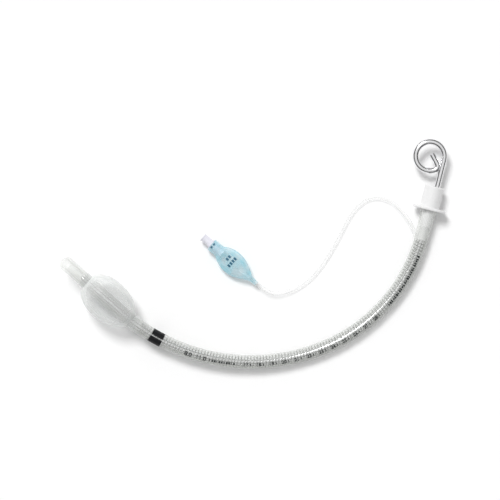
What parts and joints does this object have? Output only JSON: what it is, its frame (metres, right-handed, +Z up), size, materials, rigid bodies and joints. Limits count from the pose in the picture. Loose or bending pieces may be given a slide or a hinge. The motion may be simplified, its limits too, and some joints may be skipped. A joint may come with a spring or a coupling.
{
  "type": "cuffed reinforced endotracheal tube with stylet",
  "caption": "Curved clear airway tube with a wire coil in its wall, an inflated cuff, a pilot balloon on a thin line, a winged connector and a looped stylet inside.",
  "frame": {"origin": "on the floor under the centre of the tube, connector and stylet as they lie", "axes": "+X along the tube's length towards the connector, +Z up from the floor that it lies on"},
  "size_m": [0.3038, 0.1812, 0.0344],
  "materials": {
    "tube_shaft": "clear flexible plastic",
    "reinforcing_wire": "drawn stainless wire",
    "cuff": "clear film",
    "connector": "white moulded plastic",
    "stylet": "bright drawn rod",
    "inflation_line": "clear flexible plastic",
    "pilot_balloon": "light blue film",
    "valve_body": "white moulded plastic",
    "valve_plunger": "white moulded plastic",
    "valve_seal": "soft rubber",
    "valve_spring": "spring wire",
    "valve_retainer": "white moulded plastic"
  },
  "bodies": {
    "tube": {"tube_shaft": "tube_shaft", "reinforcing_wire": "reinforcing_wire", "cuff": "cuff", "connector": "connector", "stylet": "stylet", "inflation_line": "inflation_line", "pilot_balloon": "pilot_balloon", "valve_body": "valve_body", "valve_spring": "valve_spring", "valve_retainer": "valve_retainer"},
    "plunger": {"valve_plunger": "valve_plunger", "valve_seal": "valve_seal"}
  },
  "joints": [
    {"name": "plunger_slide", "type": "slide", "parent": "tube", "child": "plunger", "axis": [0.7547, -0.6561, 0], "range_m": [0, 0.001], "stiffness_N_per_m": 300, "springref_m": -0.001, "deforming": ["valve_spring"]}
  ]
}
